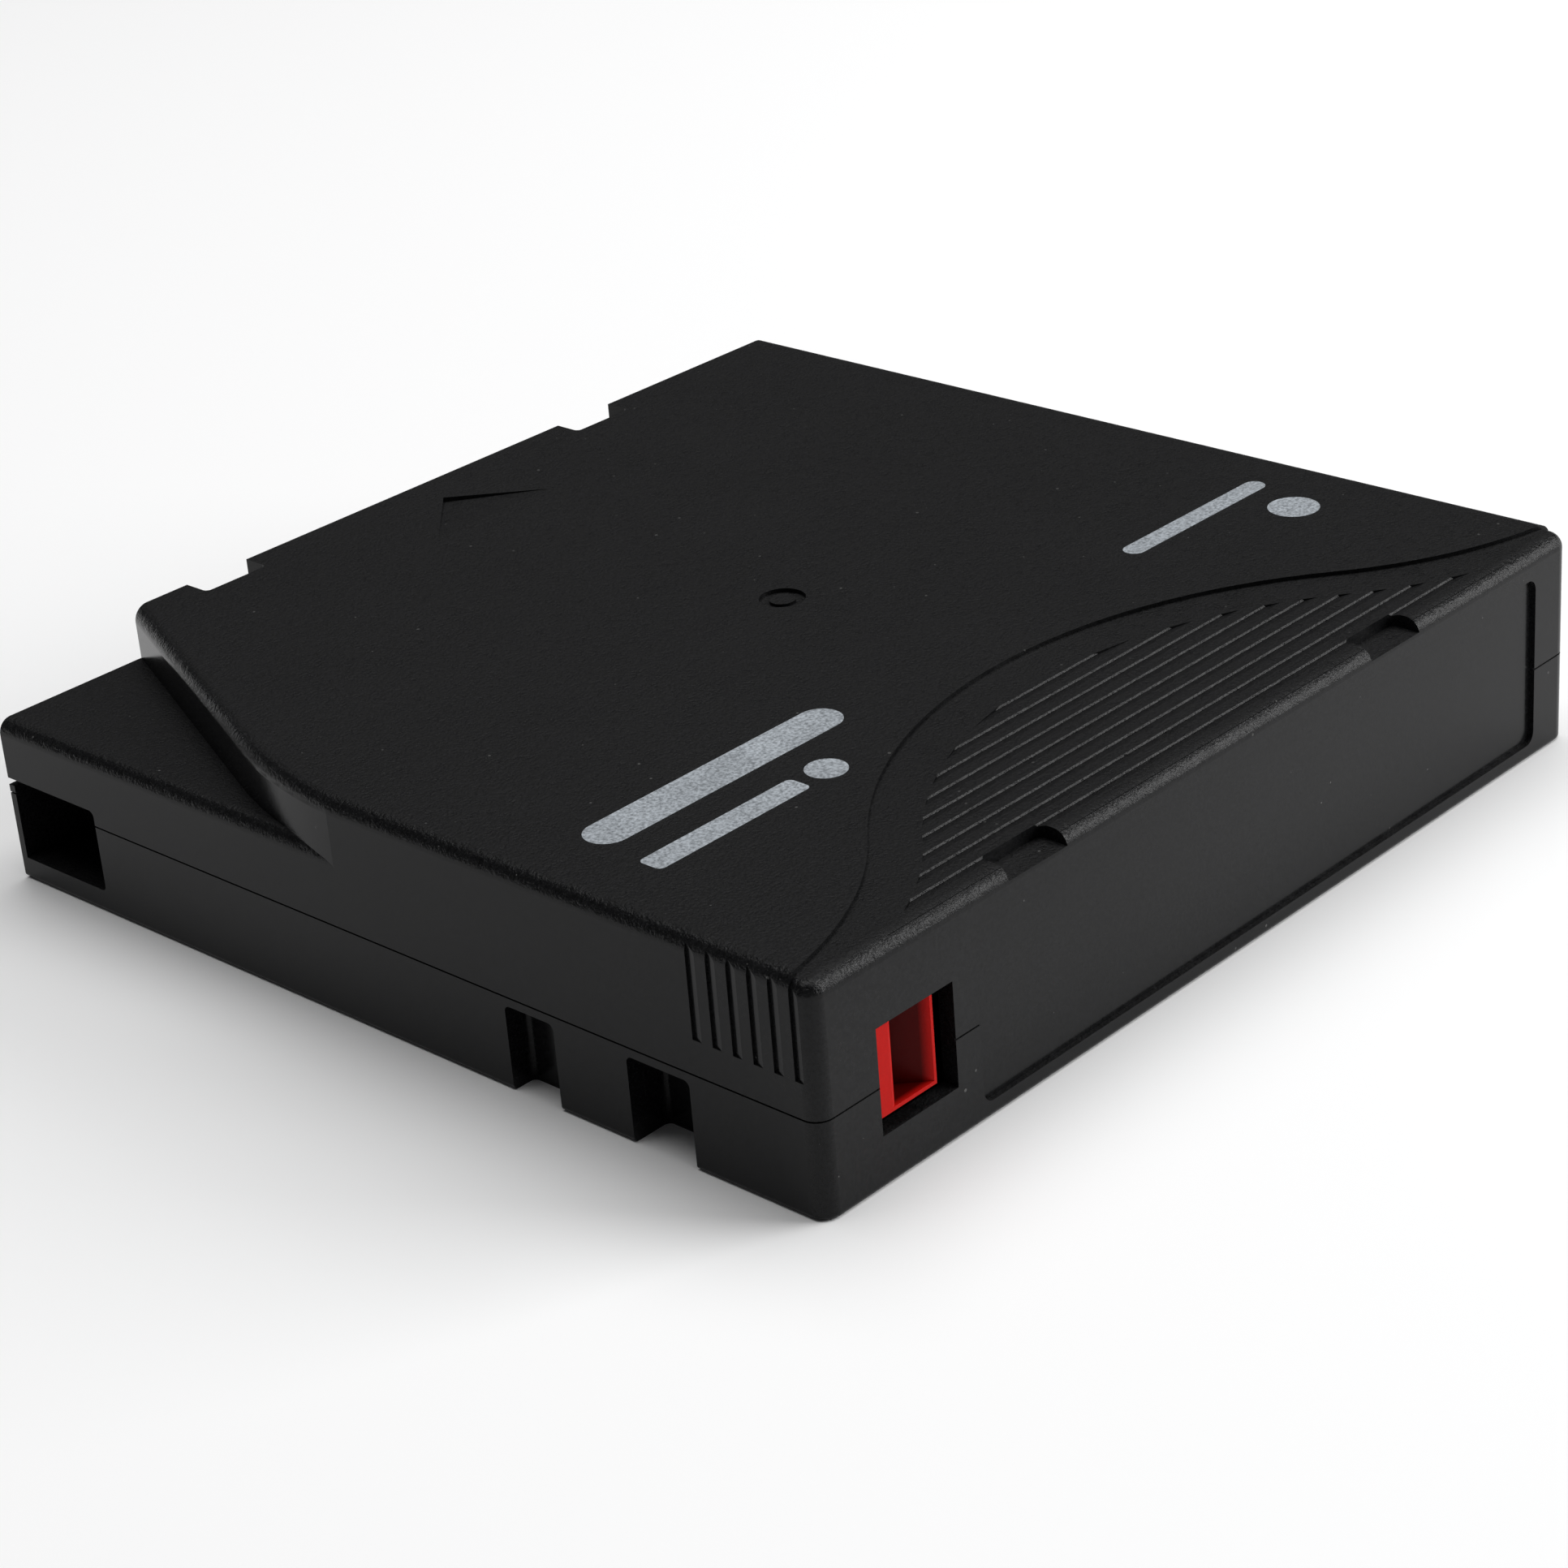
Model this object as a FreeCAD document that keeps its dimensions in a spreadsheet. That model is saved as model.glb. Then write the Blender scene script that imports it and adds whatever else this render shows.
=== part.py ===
"""Half-inch single-reel data tape cartridge: parametric FreeCAD model, millimetres, +Z up.

Origin: centre of the case in plan, on its bottom face, which is also the axis of the reel.
+X runs along the label face (105.4), +Y points to the insertion face (102.0).
"""
import FreeCAD, Part
import Sketcher
import math
import os

Vector = FreeCAD.Vector
Rotation = FreeCAD.Rotation

SIZES = [
    # outside of the case
    ("case_width", 105.4), ("case_depth", 102.0), ("case_height", 21.5),
    ("parting_height", 9.0), ("wall", 1.6), ("floor_thickness", 2.0), ("roof_thickness", 2.0),
    ("corner_round", 1.6), ("top_round", 1.5), ("bottom_round", 0.5),
    ("groove_width", 0.16), ("groove_depth", 0.15),
    # how far a cutting tool runs past a face, and how far joined pieces reach into each other
    ("past", 2.0), ("bite", 0.5),
    # stepped corner, at the left of the insertion face
    ("ledge_height", 16.3), ("step_offset", 0.15), ("step_angle", 23.0), ("ledge_round", 1.4),
    # lowered grip area of the top, bounded by a bell-shaped step
    ("wave_drop", 0.4), ("wave_length", 24.8), ("wave_radius", 47.2), ("wave_angle", 43.0),
    ("wave_reverse", 39.0),
    ("rib_count", 10), ("rib_pitch", 2.09), ("rib_depth", 0.22), ("rib_ramp", 0.8), ("rib_inset", 0.8),
    ("rib_lip", 0.1), ("rib_lip_drop", 0.17),
    ("field_gap", 4.6), ("field_radius", 43.4), ("field_angle", 42.7), ("field_reverse", 37.2),
    ("grip_count", 6), ("grip_pitch", 2.17), ("grip_depth", 0.24), ("grip_ramp", 1.0),
    ("grip_bottom", 12.3), ("grip_inset", 2.15),
    # small marks of the top
    ("recess_width", 7.4), ("recess_length", 3.0), ("recess_depth", 1.6), ("recess_round", 0.6),
    ("recess_left", 25.5), ("recess_right", 24.4),
    ("arrow_length", 7.6), ("arrow_half_width", 7.6), ("arrow_inset", 4.7), ("arrow_depth", 0.5),
    ("gate_radius", 2.2), ("gate_depth", 0.4), ("gate_boss_radius", 1.25), ("gate_boss_drop", 0.12),
    # label recess, write-protect window and tab
    ("label_left_margin", 19.1), ("label_right_margin", 5.6), ("label_bottom", 1.5),
    ("label_top_margin", 3.2), ("label_depth", 0.5), ("label_round", 1.2),
    ("window_margin", 7.0), ("window_bottom", 4.65), ("window_top", 14.3),
    ("tab_width", 6.6), ("tab_depth", 5.6), ("tab_sill", 1.55), ("tab_floor", 0.35),
    ("tab_bar", 1.9), ("tab_edge", 0.3), ("tab_gap", 0.1), ("tab_travel", 2.3), ("tab_round", 0.6),
    ("tab_hide", 0.9), ("tab_wall_gap", 0.2),
    ("tab_arm_length", 4.2), ("tab_arm_thickness", 0.7), ("tab_arm_height", 2.0),
    # loader pockets in the sides
    ("pocket_wall", 1.2), ("hook_length", 12.0), ("hook_lip", 0.8), ("hook_bottom", 2.3),
    ("hook_top", 10.5), ("hook_depth", 7.0),
    ("slot_width", 0.9), ("slot_height", 0.7),
    ("small_notch_from_rear", 29.3), ("small_notch_length", 5.7), ("small_notch_depth", 2.4),
    ("large_notch_from_rear", 13.9), ("large_notch_length", 7.0), ("large_notch_depth", 4.0),
    ("notch_roof", 0.85), ("notch_round", 0.6),
    # screws and locating holes
    ("screw_front_edge", 5.2), ("screw_front_left_side", 12.7), ("screw_front_right_side", 15.2),
    ("screw_rear_left_edge", 9.0), ("screw_rear_left_side", 4.7),
    ("screw_rear_right_edge", 6.8), ("screw_rear_right_side", 5.7),
    ("screw_radius", 1.1), ("screw_clearance", 0.04), ("screw_roof_gap", 1.7),
    ("screw_end_gap", 0.3),
    ("head_radius", 2.3), ("head_height", 1.2), ("head_recess", 1.0), ("head_clearance", 0.25),
    ("drive_radius", 0.9), ("drive_depth", 0.7),
    ("boss_radius", 2.6), ("boss_wall", 1.0),
    ("locate_radius", 2.0), ("locate_depth", 3.0), ("locate_side", 25.7), ("locate_inset", 4.6),
    ("locate_slot", 2.0), ("locate_wall", 1.2),
    # reel
    ("hub_opening_radius", 17.75), ("rim_width", 3.2), ("rim_height", 0.5), ("rest_gap", 0.1),
    ("reel_side_gap", 0.9), ("reel_top_gap", 1.95), ("flange_thickness", 1.1), ("tape_gap", 0.05),
    ("flange_lip", 2.0), ("hub_radius", 22.0), ("hub_wall", 2.4),
    ("well_gap", 1.1), ("well_wall", 1.2), ("well_front_start", 112.0), ("well_front_sweep", 46.0),
    ("well_left_start", 200.0), ("well_rear_start", 288.0), ("well_sweep", 52.0),
    ("web_height", 2.2), ("web_thickness", 1.6),
    ("tooth_count", 60), ("drive_ring_outer", 16.6), ("drive_ring_width", 3.2),
    ("drive_ring_height", 1.8), ("drive_tooth_depth", 0.65),
    ("brake_ring_width", 2.6), ("brake_ring_height", 1.5), ("brake_tooth_depth", 0.8),
    ("brake_tooth_gap", 0.27), ("brake_disc_thickness", 1.2), ("brake_side_gap", 0.3),
    ("brake_travel", 2.0), ("post_size", 7.0), ("post_gap", 0.15), ("post_clear", 0.35),
    ("sleeve_radius", 6.2), ("sleeve_height", 5.0),
    ("spring_radius", 7.8), ("spring_wire", 0.9), ("spring_turns", 4.5), ("spring_seat_gap", 0.05),
    ("plate_outer", 12.6), ("plate_inner", 4.0), ("plate_thickness", 0.6),
    ("pad_gap", 0.1), ("leg_outer", 16.75), ("leg_length", 3.5), ("leg_width", 3.0),
    ("leg_gap", 0.15), ("pad_radius", 9.0), ("leg_setback", 0.1), ("flange_seat", 1.0),
    ("flange_seat_height", 0.6),
    # door and its spring
    ("door_thickness", 1.4), ("door_gap", 0.35), ("door_overlap", 1.0), ("door_travel", 14.0),
    ("opening_front_edge", 1.8), ("opening_length", 16.2), ("opening_floor_margin", 0.2),
    ("opening_roof_margin", 1.5),
    ("door_grip", 1.5), ("door_grip_gap", 0.4), ("door_end_gap", 0.5), ("door_edge_gap", 0.15),
    ("rail_width", 0.8), ("rail_height", 1.5), ("rail_gap", 0.35), ("rail_run", 18.0),
    ("rail_lead", 1.0),
    ("rail_stub", 3.5), ("spring_seat", 1.2), ("spring_seat_half", 1.6),
    ("coil_radius", 1.15), ("coil_wire", 0.3), ("coil_length", 21.5), ("coil_turns", 13),
    ("coil_gap", 0.1), ("stop_thickness", 1.2), ("stop_rise", 1.25),
    # leader pin
    ("pin_side_inset", 6.7), ("pin_front_inset", 10.5), ("pin_overhang", 1.375), ("pin_head_radius", 2.0),
    ("pin_head_height", 1.2), ("pin_radius", 1.25), ("pin_gap", 0.1), ("clip_gap", 0.05),
    ("clip_wall", 0.55), ("clip_mouth", 1.2),
    ("seat_radius", 2.9), ("leaf_thickness", 0.2), ("leaf_height", 0.9), ("leaf_gap", 0.05),
    ("cheek_thickness", 1.0), ("cheek_gap", 0.15), ("cheek_setback", 3.4),
    ("leader_thickness", 0.15), ("leader_gap", 0.3),
    # memory board
    ("board_side_inset", 15.2), ("board_width", 9.0), ("board_height", 8.8), ("board_thickness", 0.8),
    ("board_gap", 0.1), ("board_lean", 45.0), ("cradle_thickness", 1.2), ("cradle_length", 7.0),
    ("chip_size", 3.2), ("chip_thickness", 0.7), ("antenna_width", 0.9), ("antenna_thickness", 0.06),
    ("antenna_margin", 0.5),
]


class Size:
    """A number together with the spreadsheet expression that gives it."""

    def __init__(self, value, text):
        self.value = value
        self.text = text

    def __add__(self, other):
        return Size(self.value + number(other), f"({self.text} + {words(other)})")

    def __sub__(self, other):
        return Size(self.value - number(other), f"({self.text} - {words(other)})")

    def __mul__(self, other):
        return Size(self.value * number(other), f"({self.text} * {words(other)})")

    def __truediv__(self, other):
        return Size(self.value / number(other), f"({self.text} / {words(other)})")

    def __radd__(self, other):
        return Size(other, repr(other)) + self

    def __rsub__(self, other):
        return Size(other, repr(other)) - self

    def __rmul__(self, other):
        return Size(other, repr(other)) * self

    def __neg__(self):
        return Size(-self.value, f"(-1 * {self.text})")


def number(size):
    return size.value if isinstance(size, Size) else size


def words(size):
    return size.text if isinstance(size, Size) else repr(size)


def sine(angle):
    return Size(math.sin(math.radians(angle.value)), f"sin({angle.text})")


def cosine(angle):
    return Size(math.cos(math.radians(angle.value)), f"cos({angle.text})")


def root(size):
    return Size(math.sqrt(size.value), f"sqrt({size.text})")


def arctangent(size):
    return Size(math.degrees(math.atan(size.value)), f"atan({size.text})")


def smaller(first, second):
    return Size(min(first.value, second.value), f"min({first.text}; {second.text})")


def arccosine(size):
    return Size(math.degrees(math.acos(size.value)), f"acos({size.text})")


class Sheet:
    """The driving sizes, each an attribute of its own."""

    def __init__(self, document, rows):
        self.cells = document.addObject("Spreadsheet::Sheet", "Sizes")
        for row, (alias, value) in enumerate(rows, start=1):
            self.cells.set(f"A{row}", alias.replace("_", " "))
            self.cells.set(f"B{row}", str(value))
            self.cells.setAlias(f"B{row}", alias)
            setattr(self, alias, Size(value, f"Sizes.{alias}"))


doc = FreeCAD.newDocument("TapeCartridge")
s = Sheet(doc, SIZES)
doc.recompute()


# ---- small helpers: every size that comes from the sheet stays bound to it ----

def bind(item, path, size):
    if isinstance(size, Size):
        item.setExpression(path, size.text)
    else:
        setattr(item, path, size)


def place(item, x=0, y=0, z=0, turn=0, axis=(0, 0, 1)):
    item.Placement = FreeCAD.Placement(
        Vector(number(x), number(y), number(z)), Rotation(Vector(*axis), number(turn)))
    for letter, size in zip("xyz", (x, y, z)):
        if isinstance(size, Size):
            item.setExpression(f"Placement.Base.{letter}", size.text)
    if isinstance(turn, Size):
        item.setExpression("Placement.Rotation.Angle", turn.text)
    return item


def span(name, across, along, upward, turn=0, pivot=None):
    """A box given by its limits in x, y and z; with a pivot, the limits count from it."""
    item = doc.addObject("Part::Box", name)
    for path, (low, high) in zip(("Length", "Width", "Height"), (across, along, upward)):
        bind(item, path, high - low)
    if pivot is None:
        return place(item, across[0], along[0], upward[0])
    return place(item, pivot[0], pivot[1], upward[0], turn)


def cylinder(name, x, y, z, radius, height, sweep=360, turn=0):
    item = doc.addObject("Part::Cylinder", name)
    bind(item, "Radius", radius)
    bind(item, "Height", height)
    bind(item, "Angle", sweep)
    return place(item, x, y, z, turn)


def fuse(name, items):
    if len(items) == 1:
        return items[0]
    item = doc.addObject("Part::MultiFuse", name)
    item.Shapes = items
    item.Refine = True
    return item


def cut(name, base, tools):
    item = doc.addObject("Part::Cut", name)
    item.Base = base
    item.Tool = fuse(name + "Tools", tools)
    item.Refine = True
    return item


def common(name, first, second):
    item = doc.addObject("Part::MultiCommon", name)
    item.Shapes = [first, second]
    return item


def mirrored(name, source):
    item = doc.addObject("Part::Mirroring", name)
    item.Source = source
    item.Normal = Vector(1, 0, 0)
    return item


def rounded(name, base, rules):
    """Fillet the edges of a solid: each rule is a radius and a test of an edge's middle and direction."""
    doc.recompute()
    chosen = []
    for index, edge in enumerate(base.Shape.Edges, start=1):
        for radius, test in rules:
            if test(middle(edge), direction(edge)):
                chosen.append((index, radius.value, radius.value))
                break
    item = doc.addObject("Part::Fillet", name)
    item.Base = base
    item.Edges = chosen
    return item


def middle(edge):
    return edge.valueAt((edge.FirstParameter + edge.LastParameter) / 2)


def direction(edge):
    return edge.tangentAt((edge.FirstParameter + edge.LastParameter) / 2)


def near(value, size):
    return abs(value - number(size)) < 1e-3


def upright(way):
    return abs(way.z) > 0.99


def new_body(label):
    body = doc.addObject("PartDesign::Body", label)
    body.Label = label
    return body


def origin_part(body, role):
    return next(item for item in body.Origin.OriginFeatures if item.Role == role)


def sketch(body, plane, outline, offset=0):
    """A closed polygon on one of the body's origin planes, each corner tied to the origin."""
    item = body.newObject("Sketcher::SketchObject", f"{body.Name}{plane}Sketch")
    item.AttachmentSupport = [(origin_part(body, f"{plane}_Plane"), "")]
    item.MapMode = "FlatFace"
    item.AttachmentOffset = FreeCAD.Placement(Vector(0, 0, number(offset)), Rotation())
    if isinstance(offset, Size):
        item.setExpression("AttachmentOffset.Base.z", offset.text)
    corners = [Vector(number(u), number(v), 0) for u, v in outline]
    for start, end in zip(corners, corners[1:] + corners[:1]):
        item.addGeometry(Part.LineSegment(start, end))
    count = len(outline)
    for index in range(count):
        item.addConstraint(Sketcher.Constraint("Coincident", index, 2, (index + 1) % count, 1))
    for index, corner in enumerate(outline):
        for kind, axis, size in zip(("DistanceX", "DistanceY"), (-2, -1), corner):
            if not isinstance(size, Size) and size == 0:
                item.addConstraint(Sketcher.Constraint("PointOnObject", index, 1, axis))
                continue
            rule = item.addConstraint(Sketcher.Constraint(kind, -1, 1, index, 1, number(size)))
            bind(item, f"Constraints[{rule}]", size)
    return item


def revolve(body, outline):
    """Turn an outline of (radius, height) pairs about the body's Z axis."""
    profile = sketch(body, "XZ", outline)
    item = body.newObject("PartDesign::Revolution", f"{body.Name}Turned")
    item.Profile = profile
    item.ReferenceAxis = (profile, ["V_Axis"])
    item.Angle = 360
    body.Tip = item
    return body


def pad(body, outline, length, plane="XY", offset=0):
    profile = sketch(body, plane, outline, offset)
    item = body.newObject("PartDesign::Pad", f"{body.Name}Pad")
    item.Profile = profile
    bind(item, "Length", length)
    body.Tip = item
    return item


def pocket(body, outline, length, plane="XY", offset=0):
    """Cut along the plane's normal, from the offset on."""
    profile = sketch(body, plane, outline, offset)
    item = body.newObject("PartDesign::Pocket", f"{body.Name}Pocket")
    item.Profile = profile
    item.Reversed = True
    bind(item, "Length", length)
    body.Tip = item
    return item


def polar(body, feature, count):
    item = body.newObject("PartDesign::PolarPattern", f"{body.Name}Ring")
    item.Originals = [feature]
    item.Axis = (origin_part(body, "Z_Axis"), [""])
    item.Angle = 360
    bind(item, "Occurrences", count)
    body.Tip = item
    return item


def soften(body, radius, test):
    """Fillet the body's edges that pass the test."""
    doc.recompute()
    base = body.Tip
    names = [f"Edge{index}" for index, edge in enumerate(base.Shape.Edges, start=1)
             if test(middle(edge), direction(edge))]
    item = body.newObject("PartDesign::Fillet", f"{body.Name}Soft")
    item.Base = (base, names)
    bind(item, "Radius", radius)
    body.Tip = item
    return item


def rectangle(across, along):
    return [(across[0], along[0]), (across[1], along[0]), (across[1], along[1]), (across[0], along[1])]


# ---- heights and faces shared by several pieces ----

side = s.case_width / 2
front = s.case_depth / 2
inner_side = side - s.wall
inner_front = front - s.wall
roof = s.case_height - s.roof_thickness
grip_top = s.case_height - s.wave_drop
ledge_roof = s.ledge_height - s.wall
beyond = s.case_height + s.past * 2

rim_top = s.floor_thickness + s.rim_height
hub_foot = rim_top + s.rest_gap
pack_bottom = hub_foot + s.flange_thickness + s.tape_gap
flange_bottom = roof - s.reel_top_gap - s.flange_thickness
pack_top = flange_bottom - s.tape_gap
flange_radius = smaller(inner_side - s.coil_radius * 2 - s.coil_wire, inner_front - s.reel_side_gap)
pack_radius = flange_radius - s.flange_lip
web_bottom = hub_foot + s.web_height
web_top = web_bottom + s.web_thickness
hub_inner = s.hub_radius - s.hub_wall
brake_ring_top = web_top + s.brake_ring_height
brake_groove_floor = brake_ring_top - s.brake_tooth_depth
brake_crest = brake_groove_floor + s.brake_tooth_gap
brake_root = brake_crest + s.brake_tooth_depth
brake_top = brake_root + s.brake_disc_thickness
sleeve_top = brake_root + s.sleeve_height
post_bottom = brake_top + s.brake_travel + s.post_clear
pin_x = side - s.pin_side_inset
pin_y = front - s.pin_front_inset
pin_bottom = pack_bottom - s.pin_overhang
pin_top = pack_top + s.pin_overhang
screw_tip = ledge_roof - s.screw_roof_gap

opening_end = front - s.opening_front_edge
opening_start = opening_end - s.opening_length
opening_bottom = s.floor_thickness + s.opening_floor_margin
opening_top = roof - s.opening_roof_margin
door_inner = inner_side - s.door_gap - s.door_thickness
door_outer = inner_side - s.door_gap
door_rear = opening_start - s.door_overlap
door_front = inner_front - s.door_end_gap
rail_rear = door_rear - s.door_travel - s.rail_lead
window_left = s.window_margin - side
window_right = window_left + s.tab_width + s.tab_travel + s.tab_gap * 2
tab_bottom = s.window_bottom + s.tab_sill
wave_apex = front - s.wave_length
step_radius = side + s.step_offset
board_x = side - s.board_side_inset
hook_end = front - s.hook_lip
hook_start = hook_end - s.hook_length
notch_top = s.parting_height - s.notch_roof
large_notch = (s.large_notch_from_rear - front, s.large_notch_length, s.large_notch_depth)
small_notch = (s.small_notch_from_rear - front, s.small_notch_length, s.small_notch_depth)

coil_x = inner_side - s.coil_radius - s.coil_wire
coil_z = (s.floor_thickness + roof) / 2
spring_front = door_rear - s.coil_gap
spring_rear = spring_front - s.coil_length - s.coil_gap
half_turn = Size(180, "180")
thirty = Size(30, "30")


# ---- the outside of the case ----

def corner_region(name, inset, bottom):
    """The space over the ledge: outside an arc about the reel and the line that runs on from it."""
    radius = step_radius - inset
    block = span(name + "Block", (-side - s.past, -step_radius / 2), (-s.past, front + s.past),
                 (bottom, beyond))
    core = cylinder(name + "Arc", 0, 0, bottom - s.past, radius, beyond - bottom + s.past * 2)
    corner = (-radius * cosine(s.step_angle), radius * sine(s.step_angle))
    flank = span(name + "Flank", (0, s.case_width), (0, s.case_depth),
                 (bottom - s.past, beyond + s.past), -s.step_angle, corner)
    return cut(name, block, [core, flank])


def bell_region(name, apex, radius, angle, reverse):
    """The plan of the lowered area: a central arc that swings over into two reverse arcs."""
    centre = -apex - radius
    shoulder = centre + radius * cosine(angle)
    flare_x = (radius + reverse) * sine(angle)
    flare_y = centre + (radius + reverse) * cosine(angle)
    low = s.ledge_height
    skirt = span(name + "Skirt", (-flare_x, flare_x), (-front - s.past, shoulder), (low, beyond))
    flares = [cylinder(f"{name}Flare{index}", x, flare_y, low - s.past, reverse,
                       beyond - low + s.past * 2)
              for index, x in enumerate((-flare_x, flare_x))]
    crown = cylinder(name + "Crown", 0, centre, low, radius, beyond - low)
    field = span(name + "Field", (-radius, radius), (shoulder, shoulder + radius), (low, beyond))
    dome = common(name + "Dome", crown, field)
    return fuse(name, [cut(name + "Sides", skirt, flares), dome])


def rear_corner(at, way):
    return upright(way) and near(at.y, -front)


def top_edge(height):
    """The left, right and rear edges of a top face, and the top of the step's wall."""
    def test(at, way):
        return near(at.z, height) and not near(at.y, front) and at.y < front.value - 0.1
    return test


def high_top():
    """The main top with the stepped corner cut out of its plan, without the lowered grip area."""
    block = span("HighBlock", (-side, side), (-front, front), (s.parting_height, s.case_height))
    plan = cut("HighPlan", block, [corner_region("CornerSpace", 0, s.parting_height - s.past)])
    soft = rounded("HighSoft", plan, [
        (s.corner_round, rear_corner),
        (s.top_round, top_edge(s.case_height))])
    bell = bell_region("GripSpace", wave_apex, s.wave_radius, s.wave_angle, s.wave_reverse)
    return cut("HighTop", soft, [bell])


def low_top():
    """The lowered top of the grip area, finished with its own rounded edges."""
    block = span("LowBlock", (-side, side), (-front, -wave_apex / 2), (s.parting_height, grip_top))
    return rounded("LowTop", block, [
        (s.corner_round, rear_corner),
        (s.top_round, lambda at, way: near(at.z, grip_top) and not near(at.y, -wave_apex / 2))])


def ledge():
    block = span("LedgeBlock", (-side, -step_radius / 2), (-s.wall, front),
                 (s.parting_height, s.ledge_height))
    return rounded("Ledge", block, [
        (s.ledge_round, lambda at, way: near(at.z, s.ledge_height) and near(at.x, -side))])


def parting_groove():
    """A fine groove all round the joint of the two shells."""
    low = s.parting_height - s.groove_width / 2
    high = s.parting_height + s.groove_width / 2
    block = span("GrooveBlock", (-side - s.past, side + s.past), (-front - s.past, front + s.past),
                 (low, high))
    core = span("GrooveCore", (-side + s.groove_depth, side - s.groove_depth),
                (-front + s.groove_depth, front - s.groove_depth), (low - s.past, high + s.past))
    core_soft = rounded("GrooveCoreSoft", core, [
        (s.corner_round - s.groove_depth, lambda at, way: upright(way) and at.y < 0)])
    return cut("PartingGroove", block, [core_soft])


def grip_ribs():
    """Ramped cuts of the lowered top: each is deepest at its front wall, which has a bevelled lip."""
    cuts = []
    for index in range(int(s.rib_count.value)):
        y = -front + s.rib_inset + index * s.rib_pitch
        for kind, length, depth, turn in (("Ramp", s.rib_ramp, s.rib_depth, 180),
                                          ("Lip", s.rib_lip, s.rib_lip_drop, 0)):
            item = doc.addObject("Part::Wedge", f"Rib{kind}{index}")
            for path, size in (("Xmin", -side), ("Xmax", side), ("X2min", -side), ("X2max", side),
                               ("Ymin", 0), ("Ymax", length), ("Zmin", grip_top - depth),
                               ("Zmax", beyond), ("Z2min", grip_top), ("Z2max", beyond)):
                bind(item, path, size)
            cuts.append(place(item, 0, y, 0, turn))
    field = bell_region("RibSpace", wave_apex + s.field_gap, s.field_radius, s.field_angle, s.field_reverse)
    return common("GripRibs", fuse("RibCuts", cuts), field)


def side_grips():
    """Upright ramped cuts near the rear end of the left side, and the same on the right."""
    ramps = []
    for index in range(int(s.grip_count.value)):
        ramp = doc.addObject("Part::Wedge", f"GripRamp{index}")
        for path, size in (("Xmin", side - s.grip_depth), ("Xmax", side + s.past), ("X2min", side),
                           ("X2max", side + s.past), ("Ymin", 0), ("Ymax", s.grip_ramp),
                           ("Zmin", s.grip_bottom), ("Zmax", beyond),
                           ("Z2min", s.grip_bottom), ("Z2max", beyond)):
            bind(ramp, path, size)
        place(ramp, 0, -front + s.grip_inset + index * s.grip_pitch, 0, 180)
        ramps.append(ramp)
    left = fuse("LeftGrips", ramps)
    return [left, mirrored("RightGrips", left)]


def edge_recesses():
    """Shallow notches of the top at the rear and front edges, two on each."""
    tools = []
    for end, (low, high) in enumerate(((-front - s.past, -front + s.recess_length),
                                       (front - s.recess_length, front + s.past))):
        for index, x in enumerate((-s.recess_left, s.recess_right)):
            block = span(f"Recess{end}{index}", (x - s.recess_width / 2, x + s.recess_width / 2),
                         (low, high), (s.case_height - s.recess_depth, beyond))
            tools.append(rounded(f"RecessSoft{end}{index}", block, [
                (s.recess_round, lambda at, way: upright(way) and abs(at.y) < front.value)]))
    return tools


def recess_backs(high):
    """Thicker roof under the edge recesses, a full wall below their floors."""
    low = s.case_height - s.recess_depth - s.wall
    half = s.recess_width / 2 + s.wall
    return [span(f"RecessBack{end}{index}", (x - half, x + half), along, (low, high))
            for end, along in enumerate(((-inner_front - s.bite, s.recess_length + s.wall - front),
                                         (front - s.recess_length - s.wall, inner_front + s.bite)))
            for index, x in enumerate((-s.recess_left, s.recess_right))]


def insertion_arrow():
    """A triangle that points to the insertion face and sinks in towards its tip."""
    tip = front - s.arrow_inset
    item = doc.addObject("Part::Wedge", "InsertionArrow")
    for path, size in (("Xmin", -s.arrow_half_width), ("Xmax", s.arrow_half_width), ("X2min", 0),
                       ("X2max", 0), ("Ymin", tip - s.arrow_length), ("Ymax", tip),
                       ("Zmin", s.case_height), ("Zmax", beyond),
                       ("Z2min", s.case_height - s.arrow_depth), ("Z2max", beyond)):
        bind(item, path, size)
    return item


def gate_mark():
    """The moulding gate: a small dished ring about a low boss, over the reel's axis."""
    low = s.case_height - s.gate_depth
    dish = cylinder("GateDish", 0, 0, low, s.gate_radius, beyond - low)
    boss = cylinder("GateBoss", 0, 0, low - s.past, s.gate_boss_radius,
                    s.gate_depth + s.past - s.gate_boss_drop)
    return cut("GateMark", dish, [boss])


def label_recess():
    block = span("LabelBlock", (s.label_left_margin - side, side - s.label_right_margin),
                 (-front - s.past, -front + s.label_depth),
                 (s.label_bottom, s.case_height - s.label_top_margin))
    return rounded("LabelRecess", block, [(s.label_round, lambda at, way: abs(way.y) > 0.99)])


def write_window():
    return span("WriteWindow", (window_left, window_right), (-front - s.past, s.bite - inner_front),
                (s.window_bottom, s.window_top))


def hook_pocket():
    """The blind pocket that a loader's hook catches, with a small slot round to the front face."""
    block = span("HookBlock", (-side - s.past, -side + s.hook_depth), (hook_start, hook_end),
                 (s.hook_bottom, s.hook_top))
    soft = rounded("HookSoft", block, [
        (s.notch_round, lambda at, way: abs(way.x) > 0.99 and near(at.y, hook_start))])
    slot = span("HookSlot", (-side - s.past, -side + s.slot_width), (hook_end - s.bite, front + s.past),
                (s.hook_top - s.slot_height, s.hook_top))
    return [soft, slot]


def hook_housing(name, low, high):
    return span(name, (-side + s.wall / 2, -side + s.hook_depth + s.pocket_wall),
                (hook_start - s.pocket_wall, inner_front + s.bite), (low, high))


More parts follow.
